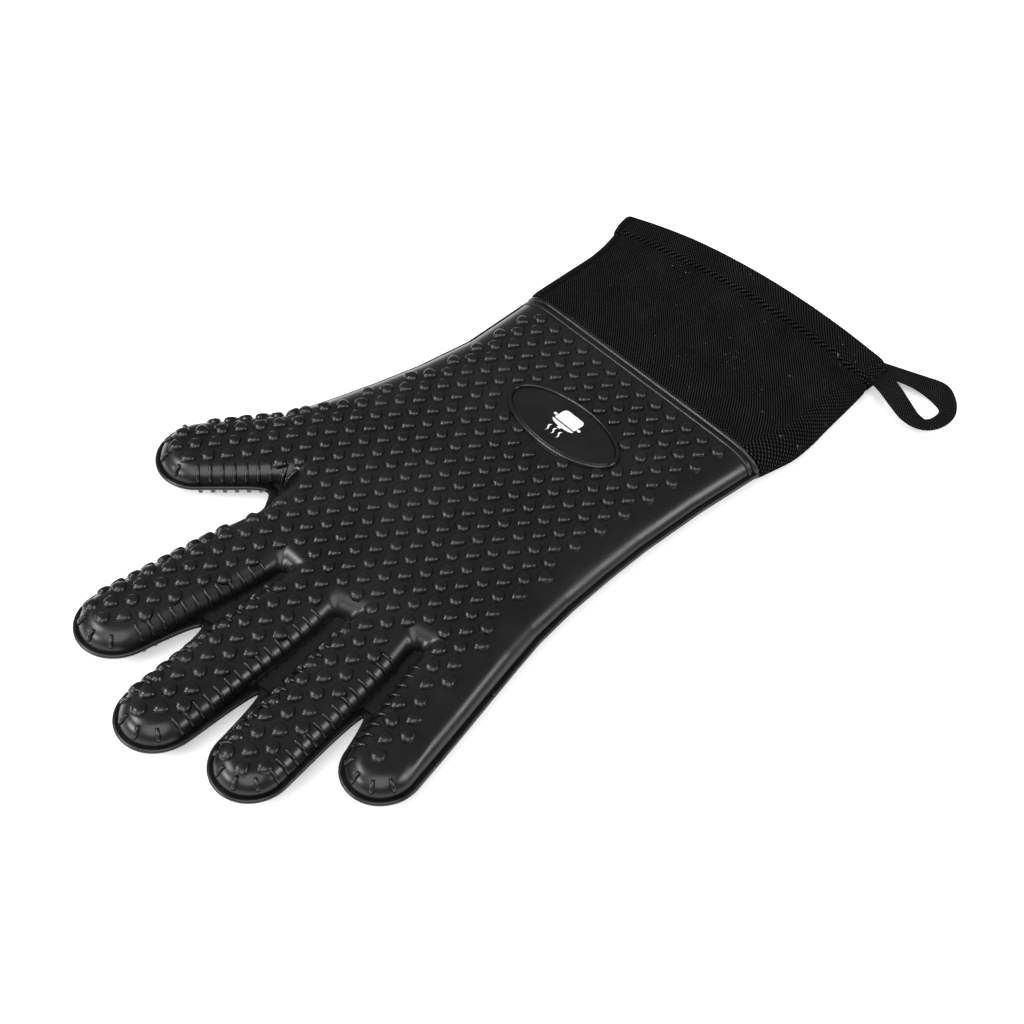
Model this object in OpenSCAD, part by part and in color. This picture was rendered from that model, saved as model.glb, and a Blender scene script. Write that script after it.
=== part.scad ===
/* [Silicone shell] */
// Wall of the silicone shell
shell_t = 1.6; // [1.2:0.1:1.8]
// Height of the palm over its grip nubs, top and bottom
palm_h = 18.4; // [17.8:0.1:19]
// Height of a finger over its grip nubs
finger_h = 17; // [16.4:0.1:17.4]

/* [Fingers] */
// Thumb, from its root hinge to its tip
thumb_length = 58.6; // [52:0.2:62]
// Index finger, from its root hinge to its tip
index_length = 74; // [66:0.5:78]
// Middle finger, from its root hinge to its tip
middle_length = 85; // [78:0.5:86]
// Ring finger, from its root hinge to its tip
ring_length = 79; // [70:0.5:82]
// Little finger, from its root hinge to its tip
little_length = 57.6; // [50:0.2:62]
// Width of the thumb
thumb_width = 34.4; // [31:0.2:35]
// Width of the index finger
index_width = 32; // [29:0.5:33]
// Width of the middle finger
middle_width = 31; // [28:0.5:32]
// Width of the ring finger
ring_width = 30; // [27:0.5:31]
// Width of the little finger
little_width = 28; // [26:0.5:29]

/* [Quilted liner] */
// Thickness of the insulating wadding
wadding_t = 1.4; // [1:0.1:1.5]
// Thickness of the cotton lining
lining_t = 0.8; // [0.5:0.1:0.9]
// Air between two layers
layer_gap = 0.3; // [0.3:0.05:0.4]

/* [Cuff] */
// Thickness of the twill cloth
cloth_t = 1.2; // [0.8:0.1:1.3]
// Height of the arched mouth at the hem
mouth_h = 17; // [15:0.5:24]
// Height of the turned hem, from its edge to its stitching
hem_h = 12.5; // [10:0.5:15]

/* [Hanging loop] */
// Width of the tape
tape_w = 8; // [6:0.5:8]
// Thickness of the tape
tape_t = 1.2; // [0.8:0.1:1.4]

/* [Hidden] */

silicone = "#26282b";
twill = "#2e2f31";
cotton = "#c9c6bd";
batting = "#e8e6df";
thread = "#1b1b1d";
ink = "#f4f4f2";

// The layers of the glove, each as the depth of its outer and inner faces below the outside
wadding_top = shell_t + layer_gap;
lining_top = wadding_top + wadding_t + layer_gap;
shell_layer = [0, shell_t];
wadding_layer = [wadding_top, wadding_top + wadding_t];
lining_layer = [lining_top, lining_top + lining_t];

// A finger is [root hinge, lean from +Y towards +X, length, half width, half width at the root]
thumb = [[56, 44], 36, thumb_length, thumb_width / 2, 14.5];
index = [[24.5, 90], 5, index_length, index_width / 2, 14.2];
middle = [[-7.4, 91], -6.3, middle_length, middle_width / 2, 14.2];
ring = [[-40.4, 85], -11.7, ring_length, ring_width / 2, 13.6];
little = [[-68.5, 75], -20, little_length, little_width / 2, 12.8];
row_fingers = [index, middle, ring, little];
root_z = finger_h / 2;
// How far each layer of a finger reaches behind its hinge, inside the palm's open end
shell_tail = -5.3;
wadding_tail = -3;
lining_tail = -1.5;
// How far behind the hinge each palm layer stops, so that the finger's round root turns clear of it
shell_setback = 6.3;
wadding_setback = 8.1;
lining_setback = 8.8;
root_window = 17.5;
finger_sides = 16;
finger_squareness = 2.6;

// The palm's side edges, as [y, x]
palm_left = [[-80.5, -72], [-50, -71], [-20, -71.5], [0, -73],
    [20, -75.2], [39, -78.5], [56, -83], [76, -88.5]];
palm_right = [[-80.5, 65], [-45, 62], [-20, 64], [0, 67.5], [14, 70.5],
    [29, 74], [50, 74], [50.1, 43.5], [90, 43]];
wrist_y = -80.5;
palm_front_left = -86;
palm_front_right = 43;
palm_rows = [0, 0.18, 0.36, 0.5, 0.6, 0.675, 0.74, 0.798, 0.838, 0.92, 1];
thumb_hole_rows = [5, 7];
thumb_crotch_y = 50;
wadding_rear_y = -74.5;
lining_rear_y = -73.5;

// Around a tube: two rolled edges, and a top and a bottom between them
roll_steps = 5;
face_steps = 9;
tube_sides = 2 * (roll_steps + face_steps);

// The cuff's neck turns inside the shell's end, and then it swells to the cuff's own width
neck_r = palm_h / 2 - shell_t - 0.4;
neck_inset = shell_t + 1;
neck_end = 2.6;
swell_end = 3.8;
cuff_inset = 0.3;
cuff_left = [[-166, -63], [-151, -66.5], [-136, -68], [-121, -71],
    [-111, -73], [-99, -74], [-91, -73], [-76, -72]];
cuff_right = [[-166, 79], [-153, 78.6], [-138, 74], [-121, 70.5], [-106, 68.5], [-76, 65]];
hem_line = [[-63, -167], [0, -161.5], [40, -158], [79, -153.5]];
hem_edge_r = 5.5;
hem_left = hem_line[0].x;
hem_right = hem_line[3].x;
cuff_length = 80;
// How far the cuff's cloth and lining reach in past the wrist's hinge
cloth_head = 5;
lining_head = 2.5;
cuff_lining_layer = [cloth_t + layer_gap, cloth_t + layer_gap + lining_t];

// The printed pot on the badge: its middle and the ink's thickness, each piece of the pot as [width, height],
// how far the lid and the handles lie from the rim, and the wisps of steam
badge_at = [-7.5, -34];
ink_t = 0.3;
pot = [11, 6.4];
pot_handle = [1.8, 1.2];
pot_lid = [12, 1];
pot_knob = [1.8, 0.8];
lid_rise = 1;
handle_drop = 1.5;
steam_x = [-3, 0, 3];
steam_base = 3;
steam_height = 4.2;
steam_w = 0.9;
steam_sway = 0.5;

// A stitch's length, width and thickness, and how far apart stitches are from middle to middle
stitch = [2.8, 0.7, 0.5];
stitch_pitch = 4.4;
bartack_bars = 6;
bartack_pitch = 1.5;
bartack_y = -164.4;

// Middle line of the tape, each point as [x, y, z, tilt of the tape's width out of level]
loop_route = [[-66.4, -160.4, 6.2, -6], [-70, -159.8, 6.4, -6], [-76, -157.2, 6.4, 0], [-83, -154.8, 6, 10],
    [-89.5, -154, 5.6, 28], [-93.6, -156.2, 5.4, 46], [-94.9, -160.6, 5.3, 58], [-94, -165.4, 5.2, 76],
    [-90.4, -169.2, 5, 104], [-84, -171.3, 4.6, 140], [-77, -171.4, 4, 168], [-71, -169.9, 3.2, 184],
    [-65, -169, 3, 188]];
loop_hinge = loop_route[0];

function powered(v, p) = sign(v) * pow(abs(v), p);
function mix(a, b, f) = a + (b - a) * f;
function ease(f) = f * f * (3 - 2 * f);
function heading(f) = [sin(f[1]), cos(f[1])];

// A closed solid between two grids of points that match, open at both ends unless it is capped.
// Cells of the grid where hole(row, column) is true are left out.
module wall(outer, inner, capped = false, hole = function(i, j) false) {
    rows = len(outer);
    sides = len(outer[0]);
    count = rows * sides;
    kept = function(i, j) i >= 0 && i < rows - 1 && !hole(i, (j + sides) % sides);
    at = function(i, j) i * sides + (j + sides) % sides;
    faces = [for (i = [0 : rows - 2], j = [0 : sides - 1]) if (kept(i, j)) each [
        [at(i, j), at(i + 1, j + 1), at(i, j + 1)],
        [at(i, j), at(i + 1, j), at(i + 1, j + 1)],
        [count + at(i, j), count + at(i, j + 1), count + at(i + 1, j + 1)],
        [count + at(i, j), count + at(i + 1, j + 1), count + at(i + 1, j)]]];
    edges = [for (i = [0 : rows - 2], j = [0 : sides - 1]) if (kept(i, j)) each [
        if (!kept(i - 1, j)) [at(i, j), at(i, j + 1)],
        if (!kept(i + 1, j) && !(capped && i == rows - 2)) [at(i + 1, j + 1), at(i + 1, j)],
        if (!kept(i, j - 1)) [at(i + 1, j), at(i, j)],
        if (!kept(i, j + 1)) [at(i, j + 1), at(i + 1, j + 1)]]];
    rims = [for (e = edges) each [[e[0], count + e[1], count + e[0]], [e[0], e[1], count + e[1]]]];
    caps = capped ? [
        [for (j = [sides - 1 : -1 : 0]) at(rows - 1, j)],
        [for (j = [0 : sides - 1]) count + at(rows - 1, j)]] : [];
    polyhedron(points = concat([for (row = outer) each row], [for (row = inner) each row]),
        faces = concat(faces, rims, caps), convexity = 8);
}

// Stations along a finger, as [distance from the hinge, half width, half height] at a depth below the outside
dome_steps = [0.3, 0.55, 0.77, 0.92, 0.985];
function finger_stations(f, depth, tail) =
    let (r = finger_h / 2 - depth, wide = f[3] - depth, narrow = f[4] - depth, dome = f[2] - f[3])
    concat(
        [for (s = [tail, tail / 2]) [s, narrow, sqrt(r * r - s * s)]],
        [[0, narrow, r], [12, wide, r], [dome, wide, r]],
        [for (q = dome_steps)
            [dome + q * wide, wide * sqrt(1 - q * q), r * sqrt(1 - pow(q, finger_squareness))]]);
function finger_skin(f, depth, tail) =
    let (d = heading(f))
    [for (st = finger_stations(f, depth, tail)) [for (k = [0 : finger_sides - 1])
        let (angle = -360 * k / finger_sides,
            across = st[1] * powered(cos(angle), 2 / finger_squareness),
            up = st[2] * powered(sin(angle), 2 / finger_squareness))
        [f[0].x + d.x * st[0] + d.y * across, f[0].y + d.y * st[0] - d.x * across, root_z + up]]];
module finger_layer(f, layer, tail) {
    wall(finger_skin(f, layer[0], tail), finger_skin(f, layer[1], tail), capped = true);
}

// One ring of a tube, from its rolled right edge over the top to the left edge and back underneath.
// Each ring is given by its side edges, the radius of its rolled edges and the rise of its top.
function tube_share(k) = // which stretch of the ring column k is in, and how far along it
    let (j = k % tube_sides, half = roll_steps + face_steps)
    j < roll_steps ? [0, j / roll_steps] :
    j < half ? [1, (j - roll_steps) / face_steps] :
    j < half + roll_steps ? [2, (j - half) / roll_steps] : [3, (j - half - roll_steps) / face_steps];
function tube_point(k, left, right, r, mid_z, rise) =
    let (s = tube_share(k), turn = -90 + 180 * s[1])
    s[0] == 0 ? [right - r + r * cos(turn), mid_z + r * sin(turn)] :
    s[0] == 1 ? [mix(right - r, left + r, s[1]), mid_z + r + rise * 4 * s[1] * (1 - s[1])] :
    s[0] == 2 ? [left + r - r * cos(turn), mid_z - r * sin(turn)] :
    [mix(left + r, right - r, s[1]), mid_z - r];

// The palm's front edge stops behind each finger's hinge line
function root_line(f, x, setback) = f[0].y - (setback + (x - f[0].x) * heading(f).x) / heading(f).y;
function palm_front(x, setback) =
    let (at = min(max(x, little[0].x - root_window + 0.1), index[0].x + root_window - 0.1))
    min([for (f = row_fingers) if (abs(at - f[0].x) <= root_window) root_line(f, at, setback)]);
// Right edge of the palm, cut back along the thumb's hinge line
function palm_right_at(y, setback) =
    let (cut = thumb[0].x - (setback + (y - thumb[0].y) * heading(thumb).y) / heading(thumb).x + palm_h / 2)
    y > thumb_crotch_y ? lookup(y, palm_right) : min(lookup(y, palm_right), cut);
function palm_skin(depth, setback, rear_y) =
    let (r = palm_h / 2 - depth)
    [for (v = palm_rows) [for (k = [0 : tube_sides - 1])
        let (front = tube_point(tube_sides - k, palm_front_left + depth, palm_front_right - depth, r, 0, 0),
            y = mix(rear_y, palm_front(front.x, setback), v),
            p = tube_point(tube_sides - k, lookup(y, palm_left) + depth,
                palm_right_at(y, setback) - depth, r, palm_h / 2, 0))
        [p.x, y, p.y]]];
module palm_layer(layer, setback, rear_y) {
    // the columns run from the last to the first, so the rolled right edge is the last stretch
    wall(palm_skin(layer[0], setback, rear_y), palm_skin(layer[1], setback, rear_y),
        hole = function(i, j) i >= thumb_hole_rows[0] && i <= thumb_hole_rows[1]
            && j >= tube_sides - roll_steps);
}

// The cuff, from its neck inside the shell's end to its hem
cuff_rows = [0, 0.3, 0.6, 1 - hem_h / cuff_length, 1];
stitched_row = 3;
hem_row = 4;
function cuff_ring(y_at, inset, depth, r, mid_z, rise) =
    [for (k = [0 : tube_sides - 1])
        let (flat_x = tube_point(tube_sides - k, hem_left, hem_right, hem_edge_r, 0, 0).x,
            y = y_at(flat_x),
            p = tube_point(tube_sides - k, lookup(y, cuff_left) + inset + depth,
                lookup(y, cuff_right) - inset - depth, r - depth, mid_z, rise))
        [p.x, y, p.y]];
function cuff_edge_r(f) = mix(palm_h / 2 - cuff_inset, hem_edge_r, ease(f));
function cuff_skin(depth, head, last_row) =
    let (neck = [for (s = [-head, -head / 2, 0, neck_end])
            cuff_ring(function(x) wrist_y - s, neck_inset, depth,
                sqrt(pow(neck_r - depth, 2) - s * s) + depth, palm_h / 2, 0)],
        body = [for (i = [0 : last_row])
            let (f = cuff_rows[i])
            cuff_ring(function(x) mix(wrist_y - swell_end, lookup(x, hem_line), f), cuff_inset, depth,
                cuff_edge_r(f), cuff_edge_r(f) + cuff_inset * (1 - f), (mouth_h - 2 * hem_edge_r) * f * f)])
    // rings run from the hem to the neck, as the palm's run from the wrist to the fingers
    [for (i = [last_row : -1 : 0]) body[i], for (i = [3 : -1 : 0]) neck[i]];
module cuff_layer(layer, head, last_row) {
    wall(cuff_skin(layer[0], head, last_row), cuff_skin(layer[1], head, last_row));
}

// A point part way between two of a list of points that a smooth curve passes through
function curve_at(pts, i, f) =
    let (a = pts[max(i - 1, 0)], b = pts[i], c = pts[i + 1], d = pts[min(i + 2, len(pts) - 1)])
    0.5 * (2 * b + (c - a) * f + (2 * a - 5 * b + 4 * c - d) * f * f + (3 * b - a - 3 * c + d) * f * f * f);
function curve(pts, steps) = [for (i = [0 : len(pts) - 2], k = [0 : steps - 1]) curve_at(pts, i, k / steps),
    pts[len(pts) - 1]];
// The four corners of the tape at each point of a route
function tape_rings(pts) = [for (i = [0 : len(pts) - 1])
    let (p = [pts[i].x, pts[i].y, pts[i].z],
        ahead = pts[min(i + 1, len(pts) - 1)] - pts[max(i - 1, 0)],
        along = [ahead.x, ahead.y, ahead.z] / norm([ahead.x, ahead.y, ahead.z]),
        level = cross(along, [0, 0, 1]) / norm(cross(along, [0, 0, 1])),
        rise = cross(level, along),
        width = (cos(pts[i][3]) * level + sin(pts[i][3]) * rise) * tape_w / 2,
        depth = cross(along, width) / norm(width) * tape_t / 2)
    [p + width + depth, p - width + depth, p - width - depth, p + width - depth]];
module tape(pts) {
    rings = tape_rings(pts);
    last = 4 * (len(rings) - 1);
    sides = [for (i = [0 : len(rings) - 2], j = [0 : 3])
        let (a = 4 * i + j, b = 4 * i + (j + 1) % 4) each [[a, b + 4, b], [a, a + 4, b + 4]]];
    polyhedron(points = [for (r = rings) each r],
        faces = concat(sides, [[0, 1, 2, 3], [last + 3, last + 2, last + 1, last]]), convexity = 6);
}

// Stitches lie half sunk along a line of points
module stitches(line) {
    for (i = [0 : len(line) - 2]) {
        run = line[i + 1] - line[i];
        count = floor(norm(run) / stitch_pitch + 0.5);
        for (k = [0 : 1 : count - 1])
            translate(line[i] + run * (k + 0.5) / count)
                rotate([0, -asin(run.z / norm(run)), atan2(run.y, run.x)])
                    cube(stitch, center = true);
    }
}
function closed(ring) = concat(ring, [ring[0]]);

module palm_shell() color(silicone) palm_layer(shell_layer, shell_setback, wrist_y);
module palm_wadding() color(batting) palm_layer(wadding_layer, wadding_setback, wadding_rear_y);
module palm_lining() color(cotton) palm_layer(lining_layer, lining_setback, lining_rear_y);
module shell_of(f) color(silicone) finger_layer(f, shell_layer, shell_tail);
module wadding_of(f) color(batting) finger_layer(f, wadding_layer, wadding_tail);
module lining_of(f) color(cotton) finger_layer(f, lining_layer, lining_tail);

// A generic cooking pot with a lid, two handles and steam, printed on the badge's flat face
module badge_print() color(ink)
    translate([badge_at.x, badge_at.y, palm_h]) linear_extrude(ink_t) {
        translate([0, -pot.y / 2]) square(pot, center = true);
        for (side = [-1, 1])
            translate([side * (pot.x + pot_handle.x) / 2, -handle_drop]) square(pot_handle, center = true);
        translate([0, lid_rise]) square(pot_lid, center = true);
        translate([0, lid_rise + (pot_lid.y + pot_knob.y) / 2]) square(pot_knob, center = true);
        for (x = steam_x) translate([x, steam_base]) polygon(concat(
            [for (f = [0 : 0.1 : 1]) [steam_w / 2 + steam_sway * sin(360 * f), steam_height * f]],
            [for (f = [1 : -0.1 : 0]) [-steam_w / 2 + steam_sway * sin(360 * f), steam_height * f]]));
    }

module liner_seam_stitching() color(thread) {
    skin = palm_skin(lining_layer[1], lining_setback, lining_rear_y);
    stitches(closed([for (k = [0 : tube_sides - 1]) mix(skin[0][k], skin[1][k], 0.08)]));
}

module cuff_cloth() color(twill) cuff_layer([0, cloth_t], cloth_head, hem_row);
module cuff_lining() color(cotton) cuff_layer(cuff_lining_layer, lining_head, stitched_row);
// The cuff's thread lies flush with its cloth
module hem_stitching() color(thread)
    stitches(closed(cuff_skin(stitch.z / 2, cloth_head, stitched_row)[0]));
module side_seam_stitching() color(thread) {
    skin = cuff_skin(stitch.z / 2, cloth_head, hem_row);
    low = tube_sides - roll_steps - face_steps - floor(roll_steps / 2) - 1;
    stitches([for (i = [1 : hem_row]) (skin[i][low] + skin[i][low + 1]) / 2]);
}
module loop_bartack() color(thread)
    for (i = [0 : bartack_bars - 1])
        let (y = bartack_y + i * bartack_pitch)
            translate([lookup(y, cuff_left) + cuff_inset, y, hem_edge_r + 0.2])
                cube([stitch.z, stitch.y, 4], center = true);
module hanging_loop() color(twill) tape(curve(loop_route, 2));

palm_shell();
palm_wadding();
palm_lining();
shell_of(thumb);  // thumb_shell
wadding_of(thumb);  // thumb_wadding
lining_of(thumb);  // thumb_lining
shell_of(index);  // index_shell
wadding_of(index);  // index_wadding
lining_of(index);  // index_lining
shell_of(middle);  // middle_shell
wadding_of(middle);  // middle_wadding
lining_of(middle);  // middle_lining
shell_of(ring);  // ring_shell
wadding_of(ring);  // ring_wadding
lining_of(ring);  // ring_lining
shell_of(little);  // little_shell
wadding_of(little);  // little_wadding
lining_of(little);  // little_lining
badge_print();
liner_seam_stitching();
cuff_cloth();
cuff_lining();
hem_stitching();
side_seam_stitching();
loop_bartack();
hanging_loop();
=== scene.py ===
import math

import bpy
import numpy as np
from mathutils import Matrix, Vector


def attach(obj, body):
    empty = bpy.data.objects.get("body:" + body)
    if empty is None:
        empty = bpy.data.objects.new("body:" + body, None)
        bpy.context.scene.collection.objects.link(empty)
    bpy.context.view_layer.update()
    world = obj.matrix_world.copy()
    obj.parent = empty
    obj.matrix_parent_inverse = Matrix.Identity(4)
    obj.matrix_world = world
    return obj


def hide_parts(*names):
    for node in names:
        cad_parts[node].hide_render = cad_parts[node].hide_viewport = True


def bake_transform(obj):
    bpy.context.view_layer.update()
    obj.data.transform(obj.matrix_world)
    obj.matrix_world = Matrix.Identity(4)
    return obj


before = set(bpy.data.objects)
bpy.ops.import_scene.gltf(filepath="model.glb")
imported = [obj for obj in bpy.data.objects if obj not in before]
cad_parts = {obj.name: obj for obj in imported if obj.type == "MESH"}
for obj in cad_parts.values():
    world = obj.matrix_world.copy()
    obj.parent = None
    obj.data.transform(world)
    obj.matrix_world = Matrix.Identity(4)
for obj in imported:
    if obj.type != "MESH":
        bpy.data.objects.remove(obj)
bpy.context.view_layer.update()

# The glove is shown lying palm down on a plain white table, seen from the fingertips and the little
# finger's side, under a broad soft light high over it and three small softboxes: beyond the fingertips,
# beyond the cuff and over the thumb.
scene = bpy.context.scene
scene.view_settings.view_transform = "Standard"
camera = bpy.data.objects.new("camera", bpy.data.cameras.new("camera"))
scene.collection.objects.link(camera)
scene.camera = camera
look_at = Vector((-0.017, -0.001, 0))
camera.location = look_at + Vector((-0.3604, 0.3132, 0.5120))
camera.rotation_euler = (look_at - camera.location).to_track_quat("-Z", "Y").to_euler()
camera.data.lens = 63.3
camera.data.clip_start, camera.data.clip_end = 0.01, 20


def softbox(name, place, size, watts):
    lamp = bpy.data.objects.new(name, bpy.data.lights.new(name, "AREA"))
    scene.collection.objects.link(lamp)
    lamp.data.shape, lamp.data.size, lamp.data.size_y = "RECTANGLE", size[0], size[1]
    lamp.data.energy = watts
    lamp.location = look_at + Vector(place)
    lamp.rotation_euler = (look_at - lamp.location).to_track_quat("-Z", "Y").to_euler()


softbox("fingertip_softbox", (0.35, 0.85, 0.42), (0.4, 0.2), 4.5)
softbox("cuff_side_softbox", (-0.85, -0.5, 0.62), (0.5, 0.28), 4.8)
softbox("thumb_side_softbox", (0.55, 0.45, 0.8), (0.35, 0.2), 4)
high_light = bpy.data.objects.new("high_light", bpy.data.lights.new("high_light", "SUN"))
scene.collection.objects.link(high_light)
high_light.data.energy = 2.2
high_light.data.angle = math.radians(55)
high_light.rotation_euler = Vector((0.3, -0.35, -0.9)).to_track_quat("-Z", "Y").to_euler()

world = bpy.data.worlds.new("studio")
scene.world = world
world.use_nodes = True
world.node_tree.nodes["Background"].inputs["Color"].default_value = (1, 1, 1, 1)
world.node_tree.nodes["Background"].inputs["Strength"].default_value = 0.27


def new_material(name):
    made = bpy.data.materials.new(name)
    made.use_nodes = True
    return made, made.node_tree.nodes, made.node_tree.links, made.node_tree.nodes["Principled BSDF"]


TABLE_HALF, TABLE_DROP = 6, -0.0002
table_mesh = bpy.data.meshes.new("table")
table_mesh.from_pydata([(x * TABLE_HALF, y * TABLE_HALF, TABLE_DROP)
                        for x, y in ((-1, -1), (1, -1), (1, 1), (-1, 1))], [], [(0, 1, 2, 3)])
table = bpy.data.objects.new("table", table_mesh)
scene.collection.objects.link(table)
table_paint, nodes, links, table_shader = new_material("white_table")
table_shader.inputs["Base Color"].default_value = (0.93, 0.93, 0.93, 1)
table_shader.inputs["Roughness"].default_value = 0.9
table_shader.inputs["Specular IOR Level"].default_value = 0.1
table_shader.inputs["Emission Color"].default_value = (1, 1, 1, 1)
table_shader.inputs["Emission Strength"].default_value = 0.4
table_mesh.materials.append(table_paint)

# The hand is one moulded silicone skin, 1.5 mm thick, with five fingers and an open wrist. Its plan is a
# palm and five round-ended fingers run together with fillets, and its edge is rounded all the way round.
MM = 0.001
# root hinge x, y, lean from +Y towards +X, length, half width, half width at the root, middle's shift
FINGERS = {
    "thumb": (56, 44, 36, 58.6, 16.3, 18.1, -0.9),
    "index": (24.5, 90, 4.6, 74, 14.7, 15.2, 0.3),
    "middle": (-7.4, 91, -6.7, 85, 13.9, 13.8, 0),
    "ring": (-40.4, 85, -12.1, 79, 13.5, 13.5, 0),
    "little": (-68.5, 75, -20.8, 57.7, 12.7, 13.7, -0.8),
}
BODIES = ["hand"] + list(FINGERS)
BEND_START = {"thumb": 4, "index": 0, "middle": 0, "ring": 0, "little": 0}
WRIST_Y = -80.5
PALM_LEFT = ((-95, -72), (-80.5, -72), (-50, -71), (-20, -71.5), (0, -73), (20, -75.2), (39, -78.5),
             (56, -83), (79, -89.3), (99, -94.5), (112, -97.2))
PALM_RIGHT = ((-95, 65.5), (-80.5, 65), (-45, 62), (-20, 64), (0, 67.5), (14, 70.5), (29, 74), (37, 74),
              (47, 60), (56, 46), (64, 42.5), (90, 42.5))
PALM_FRONT = ((-100, 124), (-88, 108), (-73, 68), (-48, 76), (-17, 88), (14, 89), (45, 72))
KNUCKLES = ((-90, 60), (-48, 76), (-17, 88), (14, 89), (45, 72))
FLANGE_WIDTH = 2.0
# how far a finger's form reaches into the palm's, and how widely the forms run together
IN_PALM = 22
PALM_FILLET, THUMB_FILLET, FINGER_FILLET = 8, 8, 2.5
PALM_MIDDLE, PALM_HALF, PALM_EDGE = 9.2, 7.8, (13.0, 7.6)
FINGER_MIDDLE, FINGER_HALF, FINGER_EDGE = 8.5, 7.1, (7.6, 6.9)
SKIN_STEP = 1.25
SKIN_WALL = 1.5
# the box that holds the whole hand
LOW_X, HIGH_X, HIGH_Y, LOW_Z, HIGH_Z = -99, 99, 178, -1, 19


def soft_least(a, b, width):
    """The lesser of two distances, the corner between them rounded over a width."""
    share = np.clip(0.5 + 0.5 * (b - a) / width, 0, 1)
    return b * (1 - share) + a * share - width * share * (1 - share)


def along_across(name, x, y):
    """How far places in plan lie along a finger from its root, and across it towards the thumb's side."""
    rx, ry, lean = FINGERS[name][:3]
    sn, cs = math.sin(math.radians(lean)), math.cos(math.radians(lean))
    return (x - rx) * sn + (y - ry) * cs, (x - rx) * cs - (y - ry) * sn


def finger_line(name):
    """A finger's root, and the directions along it and across it towards the thumb's side."""
    rx, ry, lean = FINGERS[name][:3]
    sn, cs = math.sin(math.radians(lean)), math.cos(math.radians(lean))
    return np.array([rx, ry, FINGER_MIDDLE]), np.array([sn, cs, 0]), np.array([cs, -sn, 0])


def finger_plan(name, x, y):
    length, wide, root_wide, shift = FINGERS[name][3:]
    along, across = along_across(name, x, y)
    dome = length - FLANGE_WIDTH - wide
    width = np.interp(along, (-IN_PALM, 4, 20, dome),
                      (root_wide - 2, root_wide, (wide + root_wide) / 2 + 0.4, wide))
    off = across - shift * np.clip(1 - along / dome, 0, 1)
    return np.hypot(np.maximum(np.maximum(along - dome, -IN_PALM - along), 0), off) - width


def palm_plan(x, y):
    left = np.interp(y, *zip(*PALM_LEFT)) + FLANGE_WIDTH - x
    right = x - np.interp(y, *zip(*PALM_RIGHT)) + FLANGE_WIDTH
    front = 0.95 * (y - np.interp(x, *zip(*PALM_FRONT)))
    return -soft_least(-np.maximum(left, right), -front, PALM_FILLET)


def plan(x, y):
    """Distance outside the skin's side wall, in plan."""
    out = palm_plan(x, y)
    for name in FINGERS:
        out = soft_least(out, finger_plan(name, x, y), THUMB_FILLET if name == "thumb" else FINGER_FILLET)
    return out


def finger_share(x, y, before, length):
    """How far each place in plan has passed from the palm's form, 0, to the fingers', 1."""
    thumb_along = along_across("thumb", x, y)[0]
    thumb_near = np.clip(1 - finger_plan("thumb", x, y) / 6, 0, 1)
    row = np.clip((y - np.interp(x, *zip(*KNUCKLES)) + before) / length, 0, 1)
    return np.maximum(row, thumb_near * np.clip((thumb_along + before * 0.5) / length, 0, 1))


def middle_level(x, y):
    return PALM_MIDDLE + (FINGER_MIDDLE - PALM_MIDDLE) * finger_share(x, y, 12, 34)


def skin_form(x, y, z, depth=0.0):
    """Distance outside the skin's outer face, or outside a layer that lies depth below it."""
    side = plan(x, y)
    half = PALM_HALF + (FINGER_HALF - PALM_HALF) * finger_share(x, y, 12, 34) - depth
    mid = middle_level(x, y)
    tight = finger_share(x, y, 50, 40)
    edge = [max(p - depth, 1) + (max(f - depth, 1) - max(p - depth, 1)) * tight
            for p, f in zip(PALM_EDGE, FINGER_EDGE)]
    crown = 0.5 * np.clip(1 + side / 40, 0, 1) ** 2
    flat = (side + depth + edge[0]) / edge[0] * edge[1]
    tall = np.abs(z - mid) - (half - crown - edge[1])
    return (np.hypot(np.maximum(flat, 0), np.maximum(tall, 0)) + np.minimum(np.maximum(flat, tall), 0)
            - edge[1])


def slope(form, points, nudge=0.05):
    grads = []
    for axis in range(points.shape[1]):
        shift = np.zeros(points.shape[1])
        shift[axis] = nudge
        grads.append((form(*(points + shift).T) - form(*(points - shift).T)) / (2 * nudge))
    return np.stack(grads, 1)


def unit(vectors):
    return vectors / np.linalg.norm(vectors, axis=1, keepdims=True)


def settle(form, points, rounds=4):
    """Points moved straight onto the face of a form."""
    for _ in range(rounds):
        grad = slope(form, points)
        size = np.maximum((grad ** 2).sum(1, keepdims=True), 0.05)
        points = points - np.clip(form(*points.T)[:, None] / size, -1.5, 1.5) * grad
    return points


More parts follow.
